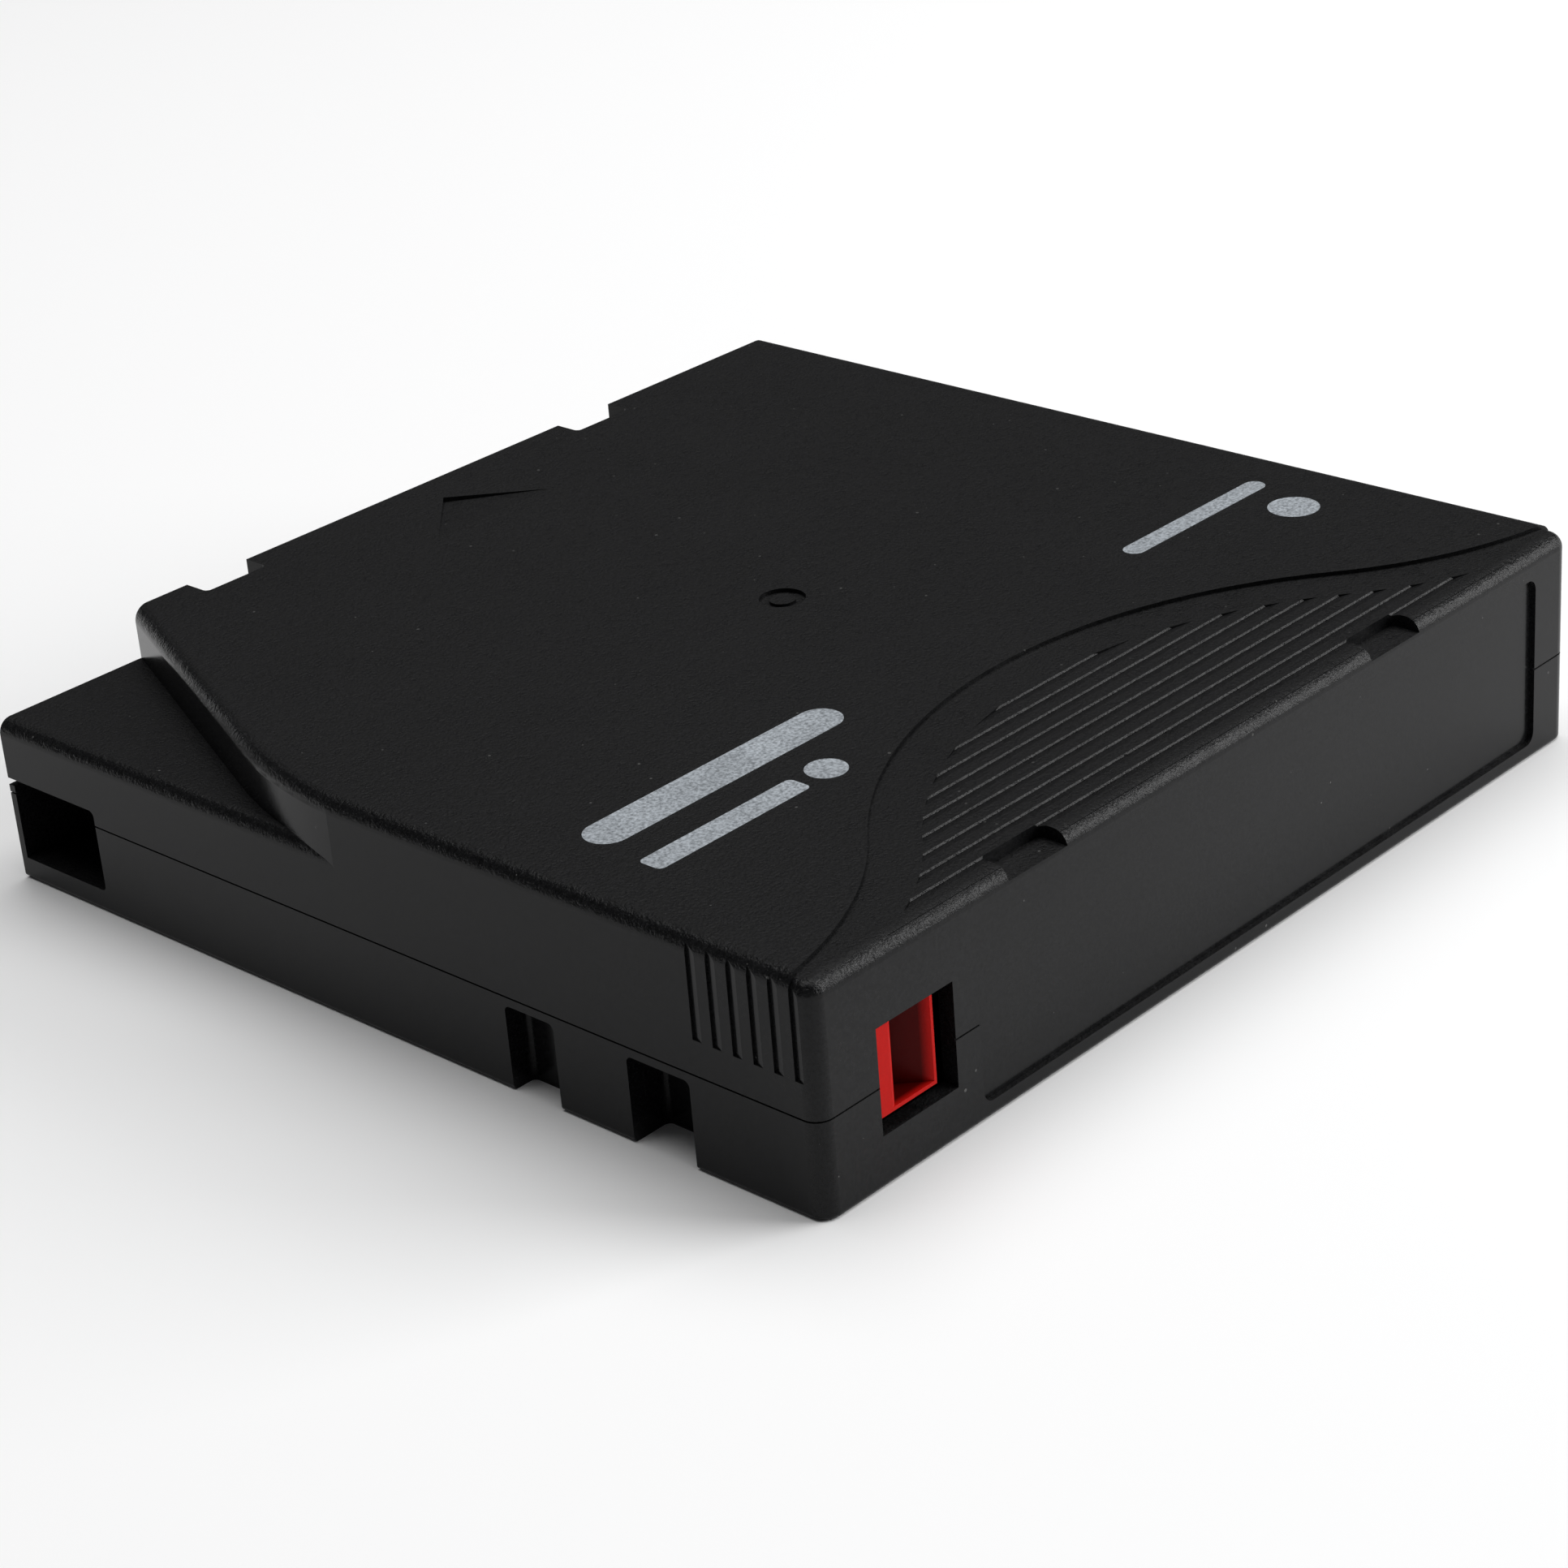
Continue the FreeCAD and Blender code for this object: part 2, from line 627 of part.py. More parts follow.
def notch_pair(name, notch):
    """A gripper notch of the lower shell, open at the bottom, on the left and on the right."""
    start, length, depth = notch
    outside = -side - s.past
    block = span(name + "Block", (outside, -side + depth), (start, start + length),
                 (-s.past, notch_top))
    left = rounded(name + "Left", block, [
        (s.notch_round, lambda at, way: not near(at.x, outside)
            and (upright(way) or near(at.z, notch_top)))])
    return [left, mirrored(name + "Right", left)]


def notch_housing(name, notch):
    start, length, depth = notch
    left = span(name + "Left", (-side + s.wall / 2, -side + depth + s.pocket_wall),
                (start - s.pocket_wall, start + length + s.pocket_wall),
                (s.floor_thickness / 2, s.parting_height))
    return [left, mirrored(name + "Right", left)]


# ---- the inside of the case ----

def screw_places():
    return [(s.screw_front_left_side - side, front - s.screw_front_edge, ledge_roof),
            (side - s.screw_front_right_side, front - s.screw_front_edge, roof),
            (s.screw_rear_left_side - side, s.screw_rear_left_edge - front, roof),
            (side - s.screw_rear_right_side, s.screw_rear_right_edge - front, roof)]


def well_walls(name, low, high):
    """Arcs of wall about the reel, in the three corners that the tape's way out leaves free."""
    inner = flange_radius + s.well_gap
    outer = inner + s.well_wall
    corners = ((s.well_front_start, s.well_front_sweep), (s.well_left_start, s.well_sweep),
               (s.well_rear_start, s.well_sweep))
    arcs = [cylinder(f"{name}Arc{index}", 0, 0, low, outer, high - low, sweep, turn)
            for index, (turn, sweep) in enumerate(corners)]
    core = cylinder(name + "Core", 0, 0, low - s.past, inner, high - low + s.past * 2)
    return cut(name, fuse(name + "Arcs", arcs), [core])


def rails(name, low, high):
    """Fences that hold the door against the side wall, clear of the pin's way out."""
    right = door_inner - s.rail_gap
    ends = ((rail_rear, rail_rear + s.rail_run), (inner_front - s.rail_stub, inner_front + s.bite))
    return [span(f"{name}{index}", (right - s.rail_width, right), end, (low, high))
            for index, end in enumerate(ends)]


def pin_seat(name, low, high, cheek_low, cheek_high):
    """The pad that faces the pin's end and the cheeks that back its leaf spring."""
    reach = s.pin_head_radius + s.leaf_gap + s.leaf_thickness + s.cheek_gap
    pieces = [cylinder(name + "Pad", pin_x, pin_y, low, s.seat_radius, high - low)]
    for index, (near_y, far_y) in enumerate(((pin_y + reach, pin_y + reach + s.cheek_thickness),
                                             (pin_y - reach - s.cheek_thickness, pin_y - reach))):
        pieces.append(span(f"{name}Cheek{index}",
                           (pin_x - s.cheek_setback, pin_x + s.pin_head_radius),
                           (near_y, far_y), (cheek_low, cheek_high)))
    return pieces


def locating_holes(name, radius, low, high):
    """A round hole on the left and a slot on the right, for the loader's dowels."""
    y = s.locate_inset - front
    slot_left = side - s.locate_side - s.locate_slot / 2
    slot_right = slot_left + s.locate_slot
    left = cylinder(name + "Round", s.locate_side - side, y, low, radius, high - low)
    ends = [cylinder(f"{name}SlotEnd{index}", x, y, low, radius, high - low)
            for index, x in enumerate((slot_left, slot_right))]
    middle_block = span(name + "SlotMiddle", (slot_left, slot_right), (y - radius, y + radius),
                        (low, high))
    return [left, fuse(name + "Slot", ends + [middle_block])]


def memory_cradle():
    """Two sloped ribs in the rear corner that carry the memory board at its lean."""
    rise = s.cradle_length * sine(s.board_lean) / cosine(s.board_lean)
    ribs = []
    for index, x in enumerate((board_x - s.board_width / 2,
                               board_x + s.board_width / 2 - s.cradle_thickness)):
        rib = doc.addObject("Part::Wedge", f"Cradle{index}")
        for path, size in (("Xmin", x), ("Xmax", x + s.cradle_thickness), ("X2min", x),
                           ("X2max", x + s.cradle_thickness), ("Ymin", -inner_front),
                           ("Ymax", s.cradle_length - inner_front), ("Zmin", s.floor_thickness / 2),
                           ("Zmax", s.floor_thickness + rise), ("Z2min", s.floor_thickness / 2),
                           ("Z2max", s.floor_thickness)):
            bind(rib, path, size)
        ribs.append(rib)
    return ribs


def door_opening():
    return span("DoorOpening", (inner_side - s.bite, side + s.past), (opening_start, opening_end),
                (opening_bottom, opening_top))


def tab_shelf():
    """The rest under the write-protect tab and the wall behind it."""
    across = (window_left - s.tab_hide - s.bite, window_right + s.bite * 2)
    back = s.tab_depth + s.tab_gap * 2 - front
    shelf = span("TabShelf", across, (-inner_front + s.wall, back),
                 (s.floor_thickness / 2, tab_bottom - s.tab_gap))
    wall = span("TabBackWall", across, (back, back + s.well_wall),
                (s.floor_thickness / 2, s.parting_height))
    return [shelf, wall]


def screw_holes(name, low, high):
    radius = s.screw_radius + s.screw_clearance
    return [cylinder(f"{name}{index}", x, y, low, radius, high - low)
            for index, (x, y, _) in enumerate(screw_places())]


def lower_case(shared):
    """Bottom shell: floor, walls, hub opening with its rim, bosses and seats."""
    block = span("LowerBlock", (-side, side), (-front, front), (0, s.parting_height))
    shell = rounded("LowerSoft", block, [
        (s.corner_round, rear_corner),
        (s.bottom_round, lambda at, way: near(at.z, 0))])
    cavity = span("LowerCavity", (-inner_side, inner_side), (-inner_front, inner_front),
                  (s.floor_thickness, s.parting_height + s.past))
    base = s.floor_thickness / 2
    seat = s.head_recess + s.head_height
    standoff = s.head_radius + s.head_clearance + s.boss_wall
    features = [cylinder("HubRim", 0, 0, base, s.hub_opening_radius + s.rim_width, rim_top - base),
                well_walls("LowerWell", base, s.parting_height),
                span("SpringStop", (inner_side - s.coil_radius * 2 - s.coil_wire, inner_side),
                     (spring_rear - s.stop_thickness, spring_rear), (base, coil_z + s.stop_rise)),
                hook_housing("LowerHook", base, s.parting_height)]
    for index, (x, y, _) in enumerate(screw_places()):
        features.append(cylinder(f"Standoff{index}", x, y, base, standoff, seat + s.boss_wall - base))
        features.append(cylinder(f"LowerBoss{index}", x, y, base, s.boss_radius,
                                 s.parting_height - base))
    features += locating_holes("LocateBoss", s.locate_radius + s.locate_wall, base,
                               s.locate_depth + s.locate_wall)
    features += rails("LowerRail", base, s.floor_thickness + s.rail_height)
    features += pin_seat("LowerSeat", base, pin_bottom - s.pin_gap, base,
                         pin_bottom + s.pin_head_height)
    features += notch_housing("SmallHouse", small_notch) + notch_housing("LargeHouse", large_notch)
    features += tab_shelf() + memory_cradle()
    body = fuse("LowerBody", [cut("LowerShell", shell, [cavity])] + features)
    holes = [cylinder("HubOpening", 0, 0, -s.past, s.hub_opening_radius, rim_top + s.past * 2)]
    holes += [cylinder(f"Counterbore{index}", x, y, -s.past, s.head_radius + s.head_clearance,
                       seat + s.past)
              for index, (x, y, _) in enumerate(screw_places())]
    holes += screw_holes("LowerScrewHole", s.head_recess, s.parting_height + s.past)
    holes += locating_holes("LocateHole", s.locate_radius, -s.past, s.locate_depth)
    holes += notch_pair("SmallNotch", small_notch) + notch_pair("LargeNotch", large_notch)
    return cut("lower_case", body, holes + shared)


def upper_case(shared):
    """Top shell: stepped corner, lowered ribbed grip area, brake post and the upper seats."""
    shell = fuse("UpperOutside", [high_top(), low_top(), ledge()])
    block = span("UpperSpace", (-inner_side, inner_side), (-inner_front, inner_front),
                 (s.parting_height - s.past, roof))
    cavity = cut("UpperCavity", block, [corner_region("CornerWall", s.wall, ledge_roof)])
    top = roof + s.roof_thickness / 4
    half = s.post_size / 2
    rear_wall = s.tab_depth - front
    features = [well_walls("UpperWell", s.parting_height, top),
                span("BrakePost", (-half, half), (-half, half), (post_bottom, top)),
                span("TabGuide", (window_left - s.tab_hide, window_right),
                     (-inner_front + s.wall, rear_wall), (s.window_top, top)),
                hook_housing("UpperHook", s.parting_height, s.hook_top + s.pocket_wall)]
    for index, (x, y, high) in enumerate(screw_places()):
        features.append(cylinder(f"UpperBoss{index}", x, y, s.parting_height, s.boss_radius,
                                 high + s.wall / 4 - s.parting_height))
    features += rails("UpperRail", roof - s.rail_height, top) + recess_backs(top)
    features += pin_seat("UpperSeat", pin_top + s.pin_gap, top, pin_top - s.pin_head_height, top)
    body = fuse("UpperBody", [cut("UpperShell", shell, [cavity])] + features)
    holes = screw_holes("UpperScrewHole", s.parting_height - s.past, screw_tip + s.screw_end_gap)
    marks = side_grips() + edge_recesses() + [grip_ribs(), insertion_arrow(), gate_mark()]
    return cut("upper_case", body, holes + marks + shared)


# ---- pieces that the case holds ----

def case_screws():
    """Four recessed screws that come up through the bottom shell."""
    screws = []
    for index, (x, y, _) in enumerate(screw_places()):
        body = new_body(f"CaseScrew{index}")
        under = s.head_recess + s.head_height
        revolve(body, [(0, s.head_recess), (s.head_radius, s.head_recess), (s.head_radius, under),
                       (s.screw_radius, under), (s.screw_radius, screw_tip - s.screw_radius / 2),
                       (s.screw_radius / 2, screw_tip), (0, screw_tip)])
        r = s.drive_radius
        half = r / 2
        slope = r * cosine(thirty)
        pocket(body, [(r, 0), (half, slope), (-half, slope), (-r, 0), (-half, -slope), (half, -slope)],
               s.drive_depth, "XY", s.head_recess)
        place(body, x, y)
        screws.append(body)
    group = doc.addObject("Part::Compound", "case_screws")
    group.Links = screws
    return group


def door():
    """Sliding plate behind the side opening, with an outer finger grip and a seat for its spring."""
    body = new_body("door")
    low = s.floor_thickness + s.door_edge_gap
    pad(body, rectangle((door_inner, door_outer), (door_rear, door_front)),
        roof - s.door_edge_gap - low, "XY", low)
    grip_low = opening_bottom + s.door_grip_gap
    pad(body, rectangle((door_outer - s.bite, side - s.door_grip_gap),
                        (door_front - s.door_grip, door_front)),
        opening_top - s.door_grip_gap - grip_low, "XY", grip_low)
    pad(body, rectangle((coil_x - s.coil_radius, door_outer), (door_rear, door_rear + s.spring_seat)),
        s.spring_seat_half * 2, "XY", coil_z - s.spring_seat_half)
    return body


def coil(name, radius, wire, length, turns):
    """A round-wire helix with its axis along Z."""
    path = doc.addObject("Part::Helix", name + "Path")
    rise = length - wire
    bind(path, "Radius", radius)
    bind(path, "Height", rise)
    bind(path, "Pitch", rise / turns)
    section = doc.addObject("Part::Circle", name + "Section")
    bind(section, "Radius", wire / 2)
    place(section, radius, 0, 0, 90, (1, 0, 0))
    item = doc.addObject("Part::Sweep", name)
    item.Sections = [section]
    item.Spine = (path, [])
    item.Solid = True
    item.Frenet = True
    return item


def door_spring():
    item = coil("door_spring", s.coil_radius, s.coil_wire, s.coil_length, s.coil_turns)
    return place(item, coil_x, spring_front - s.coil_wire / 2, coil_z, 90, (1, 0, 0))


def brake_spring():
    low = brake_top + s.spring_seat_gap
    length = roof - s.spring_seat_gap - low
    item = coil("brake_spring", s.spring_radius, s.spring_wire, length, s.spring_turns)
    return place(item, 0, 0, low + s.spring_wire / 2)


def write_protect_tab():
    """Slider in the window: a finger bar, a floor and a face that runs back at 45 degrees.

    A lip behind the window's left edge and an arm at the back guide it.
    """
    body = new_body("write_protect_tab")
    left = window_left + s.tab_gap
    right = left + s.tab_width
    face = s.tab_gap - front
    rear = face + s.tab_depth
    top = s.window_top - s.tab_gap
    mouth = right - s.tab_edge
    deep = face + (mouth - left - s.tab_bar)
    pad(body, rectangle((left, right), (face, rear)), top - tab_bottom, "XY", tab_bottom)
    guard = s.tab_wall_gap - inner_front
    arm_low = (tab_bottom + top - s.tab_arm_height) / 2
    pad(body, rectangle((left - s.tab_hide, left + s.tab_bar), (guard, guard + s.tab_arm_thickness)),
        s.tab_arm_height, "XY", arm_low)
    pad(body, rectangle((mouth, right + s.tab_arm_length), (rear - s.tab_arm_thickness, rear)),
        s.tab_arm_height, "XY", arm_low)
    floor = tab_bottom + s.tab_floor
    outside = face - s.past
    pocket(body, [(left + s.tab_bar, outside), (mouth + s.past, outside), (left + s.tab_bar, deep)],
           top - floor + s.past, "XY", floor)
    soften(body, s.tab_round, lambda at, way: upright(way) and near(at.y, face)
           and near(at.x, left + s.tab_bar))
    return body


def leader_pin():
    body = new_body("leader_pin")
    low_head = pin_bottom + s.pin_head_height
    high_head = pin_top - s.pin_head_height
    edge = s.pin_head_height / 4
    revolve(body, [(0, pin_bottom), (s.pin_head_radius - edge, pin_bottom),
                   (s.pin_head_radius, pin_bottom + edge), (s.pin_head_radius, low_head),
                   (s.pin_radius, low_head), (s.pin_radius, high_head),
                   (s.pin_head_radius, high_head), (s.pin_head_radius, pin_top - edge),
                   (s.pin_head_radius - edge, pin_top), (0, pin_top)])
    return place(body, pin_x, pin_y)


def pin_clip():
    """Split sleeve that clamps the leader tape round the pin."""
    body = new_body("pin_clip")
    inner = s.pin_radius + s.clip_gap
    outer = inner + s.clip_wall
    low = pin_bottom + s.pin_head_height + s.pin_gap
    high = pin_top - s.pin_head_height - s.pin_gap
    revolve(body, [(inner, low), (outer, low), (outer, high), (inner, high)])
    pocket(body, rectangle((0, outer + s.past), (-s.clip_mouth / 2, s.clip_mouth / 2)),
           high - low + s.past * 2, "XY", low - s.past)
    return place(body, pin_x, pin_y)


def pin_leaf(label, low):
    """U-shaped leaf spring that grips one head of the leader pin."""
    body = new_body(label)
    inner = s.pin_head_radius + s.leaf_gap
    outer = inner + s.leaf_thickness
    tip = s.pin_head_radius / 2
    pad(body, [(tip, -outer), (tip, -inner), (-inner, -inner), (-inner, inner), (tip, inner),
               (tip, outer), (-outer, outer), (-outer, -outer)], s.leaf_height, "XY", low)
    return place(body, pin_x, pin_y)


def leader_tape():
    """The free stretch of tape, tangent to the pack and ending at the pin's clip."""
    radius = pack_radius + s.leader_gap
    reach = root(pin_x * pin_x + pin_y * pin_y)
    angle = arctangent(pin_y / pin_x) + arccosine(radius / reach)
    stretch = root(reach * reach - radius * radius)
    stop = s.pin_radius + s.clip_gap + s.clip_wall + s.clip_gap
    item = doc.addObject("Part::Box", "leader_tape")
    bind(item, "Length", s.leader_thickness)
    bind(item, "Width", stretch - stop)
    bind(item, "Height", pack_top - pack_bottom)
    x = radius * cosine(angle) + (stretch - stop) * sine(angle)
    y = radius * sine(angle) - (stretch - stop) * cosine(angle)
    return place(item, x, y, pack_bottom, angle)


def on_board(name, across, upward, low, thickness):
    """A plate that lies on the leaning memory board's plane."""
    rise = sine(s.board_lean)
    run = cosine(s.board_lean)
    foot_y = s.cradle_length - inner_front
    item = doc.addObject("Part::Box", name)
    bind(item, "Length", across[1] - across[0])
    bind(item, "Width", upward[1] - upward[0])
    bind(item, "Height", thickness)
    lift = low + thickness
    return place(item, across[0], foot_y - upward[0] * run + lift * rise,
                 s.floor_thickness + upward[0] * rise + lift * run, half_turn - s.board_lean, (1, 0, 0))


def memory():
    """Wireless memory: a leaning board with its aerial and its chip."""
    low = board_x - s.board_width / 2
    high = board_x + s.board_width / 2
    foot = s.board_thickness
    top = foot + s.board_height
    board = on_board("memory_board", (low, high), (foot, top), s.board_gap, s.board_thickness)
    face = s.board_gap + s.board_thickness
    edge = s.antenna_margin
    ring = edge + s.antenna_width
    plate = on_board("AerialPlate", (low + edge, high - edge), (foot + edge, top - edge),
                     face, s.antenna_thickness)
    hole = on_board("AerialHole", (low + ring, high - ring), (foot + ring, top - ring),
                    face - s.bite, s.antenna_thickness + s.bite * 2)
    aerial = cut("memory_aerial", plate, [hole])
    middle_up = (foot + top) / 2
    chip = on_board("memory_chip", (board_x - s.chip_size / 2, board_x + s.chip_size / 2),
                    (middle_up - s.chip_size / 2, middle_up + s.chip_size / 2),
                    face, s.chip_thickness)
    return [board, aerial, chip]


# ---- the reel and its brake ----

def vee(tip, size):
    """Section of a tooth gap with 45-degree flanks; a negative size opens downwards."""
    return [(0, tip), (size, tip + size), (-size, tip + size)]


def leg_box(clearance):
    inner = s.leg_outer - s.leg_length
    half = s.leg_width / 2 + clearance
    return rectangle((inner - clearance, s.leg_outer + clearance), (-half, half))


def reel_hub():
    """Hub with the lower flange, the drive teeth under its web and the brake teeth above it."""
    body = new_body("reel_hub")
    drive_inner = s.drive_ring_outer - s.drive_ring_width
    drive_low = web_bottom - s.drive_ring_height
    brake_inner = hub_inner - s.brake_ring_width
    flange_top = hub_foot + s.flange_thickness
    seat = hub_inner + s.flange_seat
    seat_top = flange_bottom + s.flange_seat_height
    revolve(body, [(0, web_bottom), (drive_inner, web_bottom), (drive_inner, drive_low),
                   (s.drive_ring_outer, drive_low), (s.drive_ring_outer, web_bottom),
                   (hub_inner, web_bottom), (hub_inner, hub_foot), (flange_radius, hub_foot),
                   (flange_radius, flange_top), (s.hub_radius, flange_top),
                   (s.hub_radius, flange_bottom), (seat, flange_bottom), (seat, seat_top),
                   (hub_inner, seat_top), (hub_inner, brake_ring_top),
                   (brake_inner, brake_ring_top), (brake_inner, web_top), (0, web_top)])
    spare = s.pad_gap
    gap = pocket(body, vee(brake_groove_floor, s.brake_tooth_depth + spare),
                 s.brake_ring_width + spare, "YZ", brake_inner - spare)
    polar(body, gap, s.tooth_count)
    gap = pocket(body, vee(drive_low + s.drive_tooth_depth, -s.drive_tooth_depth - spare),
                 s.drive_ring_width + spare * 2, "YZ", drive_inner - spare)
    polar(body, gap, s.tooth_count)
    hole = pocket(body, leg_box(s.leg_gap), web_top - drive_low + s.past * 2, "XY",
                  drive_low - s.past)
    polar(body, hole, 3)
    return place(body, 0, 0, 0, half_turn / s.tooth_count)


def release_pad():
    """Three-legged spider: its legs pass through the hub's web into the ring of drive teeth."""
    body = new_body("release_pad")
    low = web_top + s.pad_gap
    high = brake_root - s.pad_gap
    revolve(body, [(0, low), (s.pad_radius, low), (s.pad_radius, high), (0, high)])
    arm = pad(body, rectangle((0, s.leg_outer), (-s.leg_width / 2, s.leg_width / 2)),
              high - low, "XY", low)
    foot = web_bottom - s.drive_ring_height + s.leg_setback
    polar(body, arm, 3)
    leg = pad(body, leg_box(0), high - foot, "XY", foot)
    polar(body, leg, 3)
    return place(body, 0, 0, 0, half_turn / s.tooth_count)


def brake_button():
    """Disc with teeth under its rim and a square sleeve that keeps it from turning on the post."""
    body = new_body("brake_button")
    outer = hub_inner - s.brake_side_gap
    inner = hub_inner - s.brake_ring_width
    revolve(body, [(0, brake_root), (inner, brake_root), (inner, brake_crest), (outer, brake_crest),
                   (outer, brake_top), (s.sleeve_radius, brake_top), (s.sleeve_radius, sleeve_top),
                   (0, sleeve_top)])
    gap = pocket(body, vee(brake_root, -s.brake_tooth_depth - s.pad_gap),
                 s.brake_ring_width + s.pad_gap, "YZ", inner - s.pad_gap)
    polar(body, gap, s.tooth_count)
    half = s.post_size / 2 + s.post_gap
    pocket(body, rectangle((-half, half), (-half, half)), sleeve_top - brake_top + s.past, "XY",
           brake_top)
    return body


def turned(label, outline):
    return revolve(new_body(label), outline)


def ring(label, inner, outer, low, high):
    return turned(label, [(inner, low), (outer, low), (outer, high), (inner, high)])


def reel_rings():
    """Upper flange, steel coupling plate and the wound tape, all about the reel's axis."""
    return [ring("reel_upper_flange", hub_inner + s.flange_seat + s.tape_gap, flange_radius,
                 flange_bottom, flange_bottom + s.flange_thickness),
            ring("reel_plate", s.plate_inner, s.plate_outer, web_bottom - s.plate_thickness, web_bottom),
            ring("tape_pack", s.hub_radius + s.tape_gap, pack_radius, pack_bottom, pack_top)]


# ---- build, check and write ----

def build():
    shared = [parting_groove(), label_recess(), write_window(), door_opening()] + hook_pocket()
    pieces = [lower_case(shared), upper_case(shared), case_screws(), door(), door_spring(),
              write_protect_tab(), leader_pin(), pin_clip(),
              pin_leaf("pin_spring_lower", pin_bottom + s.pin_gap),
              pin_leaf("pin_spring_upper", pin_top - s.pin_gap - s.leaf_height),
              leader_tape(), reel_hub(), release_pad(), brake_button(), brake_spring()]
    return pieces + memory() + reel_rings()


def check(pieces):
    doc.recompute()
    for item in doc.Objects:
        if "Invalid" in item.State or "Error" in item.State:
            raise RuntimeError(f"{item.Label} failed: {item.State}")
    for piece in pieces:
        if piece.Shape.isNull() or not piece.Shape.isValid():
            raise RuntimeError(f"{piece.Label} has no valid shape")


def write(pieces):
    os.makedirs("parts", exist_ok=True)
    for piece in pieces:
        piece.Shape.exportStep(f"parts/{piece.Label}.step")
        box = piece.Shape.BoundBox
        print(f"{piece.Label}: {len(piece.Shape.Solids)} solids, {piece.Shape.Volume:.1f} mm3, "
              f"x {box.XMin:.2f} {box.XMax:.2f} y {box.YMin:.2f} {box.YMax:.2f} "
              f"z {box.ZMin:.2f} {box.ZMax:.2f}")


parts = build()
check(parts)
write(parts)
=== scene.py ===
import bpy
import bmesh
from mathutils import Matrix, Vector


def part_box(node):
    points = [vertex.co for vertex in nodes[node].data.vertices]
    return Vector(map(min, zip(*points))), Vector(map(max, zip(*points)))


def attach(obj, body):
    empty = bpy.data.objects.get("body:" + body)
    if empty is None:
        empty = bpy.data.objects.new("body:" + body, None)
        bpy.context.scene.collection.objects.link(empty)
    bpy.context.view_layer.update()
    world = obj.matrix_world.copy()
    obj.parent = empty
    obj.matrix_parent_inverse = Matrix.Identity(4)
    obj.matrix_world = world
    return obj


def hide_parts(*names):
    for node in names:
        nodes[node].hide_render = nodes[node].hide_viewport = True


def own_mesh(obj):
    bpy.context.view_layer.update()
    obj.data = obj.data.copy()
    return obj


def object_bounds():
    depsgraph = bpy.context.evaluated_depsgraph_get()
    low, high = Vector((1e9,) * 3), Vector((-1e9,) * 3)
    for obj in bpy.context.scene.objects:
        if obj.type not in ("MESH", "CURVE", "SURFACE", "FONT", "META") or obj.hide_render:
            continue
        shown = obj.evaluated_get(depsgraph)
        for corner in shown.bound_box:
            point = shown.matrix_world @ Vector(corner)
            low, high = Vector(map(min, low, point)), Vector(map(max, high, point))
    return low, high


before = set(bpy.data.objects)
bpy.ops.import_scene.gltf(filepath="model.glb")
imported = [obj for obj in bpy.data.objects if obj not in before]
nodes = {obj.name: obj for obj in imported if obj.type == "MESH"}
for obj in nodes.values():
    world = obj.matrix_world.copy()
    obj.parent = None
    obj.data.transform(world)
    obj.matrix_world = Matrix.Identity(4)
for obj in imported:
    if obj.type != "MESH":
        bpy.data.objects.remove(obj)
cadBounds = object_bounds()
scene = bpy.context.scene
scene.view_settings.view_transform = "Standard"
print("frame loaded:", len(nodes), "nodes")

# lengths are in metres, colours are linear
mm = 0.001
caseTop = cadBounds[1][2]

darkShell = (0.0052, 0.0052, 0.0055)
satinShell = (0.0062, 0.0063, 0.0067)
dustColour = (0.16, 0.16, 0.155)
printGrey = (0.30, 0.325, 0.35)
sliderRed = (0.45, 0.007, 0.005)


# surface effects that several finishes share
def newGroup(name, inputs, outputs):
    group = bpy.data.node_groups.new(name, "ShaderNodeTree")
    for label, kind in inputs:
        group.interface.new_socket(label, in_out="INPUT", socket_type=kind)
    for label, kind in outputs:
        group.interface.new_socket(label, in_out="OUTPUT", socket_type=kind)
    start = group.nodes.new("NodeGroupInput")
    end = group.nodes.new("NodeGroupOutput")
    return group, start, end


def mathNode(tree, operation, first, second=None):
    node = tree.nodes.new("ShaderNodeMath")
    node.operation = operation
    for index, value in enumerate((first, second)):
        if value is None:
            continue
        if isinstance(value, (int, float)):
            node.inputs[index].default_value = value
        else:
            tree.links.new(value, node.inputs[index])
    return node.outputs[0]


def noiseNode(tree, vector, size, detail, roughness=0.5):
    # size is a socket that gives the width of one cell
    node = tree.nodes.new("ShaderNodeTexNoise")
    node.inputs["Detail"].default_value = detail
    node.inputs["Roughness"].default_value = roughness
    tree.links.new(vector, node.inputs["Vector"])
    tree.links.new(mathNode(tree, "DIVIDE", 1.0, size), node.inputs["Scale"])
    return node.outputs["Fac"]


def rangeNode(tree, value, low, high, outLow=0.0, outHigh=1.0):
    node = tree.nodes.new("ShaderNodeMapRange")
    node.clamp = True
    tree.links.new(value, node.inputs["Value"])
    node.inputs["From Min"].default_value = low
    node.inputs["From Max"].default_value = high
    node.inputs["To Min"].default_value = outLow
    node.inputs["To Max"].default_value = outHigh
    return node.outputs["Result"]


def mixColour(tree, factor, first, second):
    node = tree.nodes.new("ShaderNodeMix")
    node.data_type = "RGBA"
    # a mix node keeps its two colours in sockets 6 and 7, and puts the result out of socket 2
    for socket, value in zip((node.inputs["Factor"], node.inputs[6], node.inputs[7]),
                             (factor, first, second)):
        if isinstance(value, tuple):
            socket.default_value = (*value, 1.0)
        else:
            tree.links.new(value, socket)
    return node.outputs[2]


